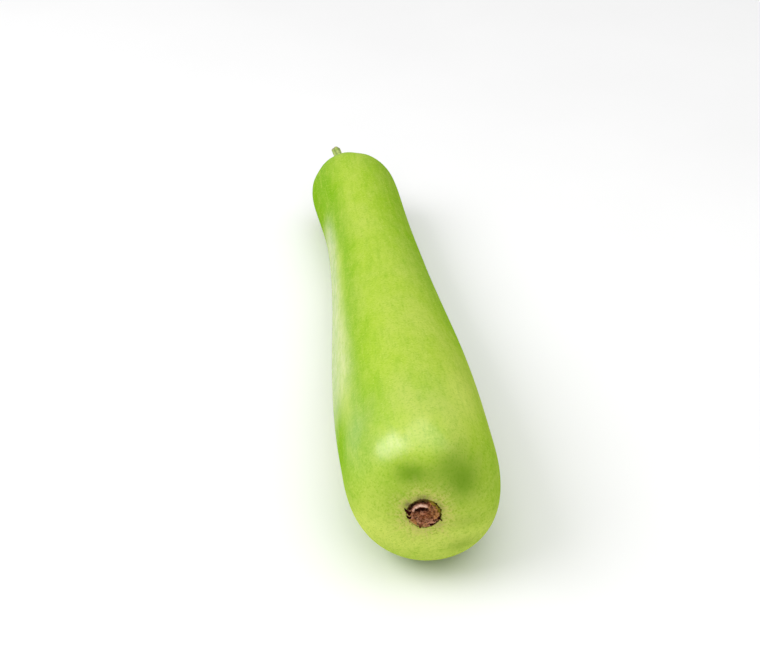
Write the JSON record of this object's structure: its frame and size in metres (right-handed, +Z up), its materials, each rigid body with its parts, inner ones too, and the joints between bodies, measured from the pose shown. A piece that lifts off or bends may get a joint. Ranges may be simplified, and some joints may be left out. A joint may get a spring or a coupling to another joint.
{
  "type": "bottle gourd",
  "caption": "Fresh bottle gourd lying on its side, with a full blossom end, a slimmer neck, a short cut stem and the dried remains of its flower.",
  "frame": {"origin": "under the middle of the whole gourd, on the surface that it rests on", "axes": "+Y along the fruit from the blossom end to the stem, +Z up, +X to the right when looking along +Y"},
  "size_m": [0.08, 0.4356, 0.0867],
  "materials": {
    "gourd_skin": "satin waxy skin, bright yellow-green with fine paler flecks",
    "stem_green": "dull fibrous green, brownish where it was cut",
    "dried_flower": "dry, dark brown and corky"
  },
  "bodies": {
    "root": {"gourd": "gourd_skin", "stem": "stem_green", "blossom_scar": "dried_flower"}
  },
  "joints": []
}
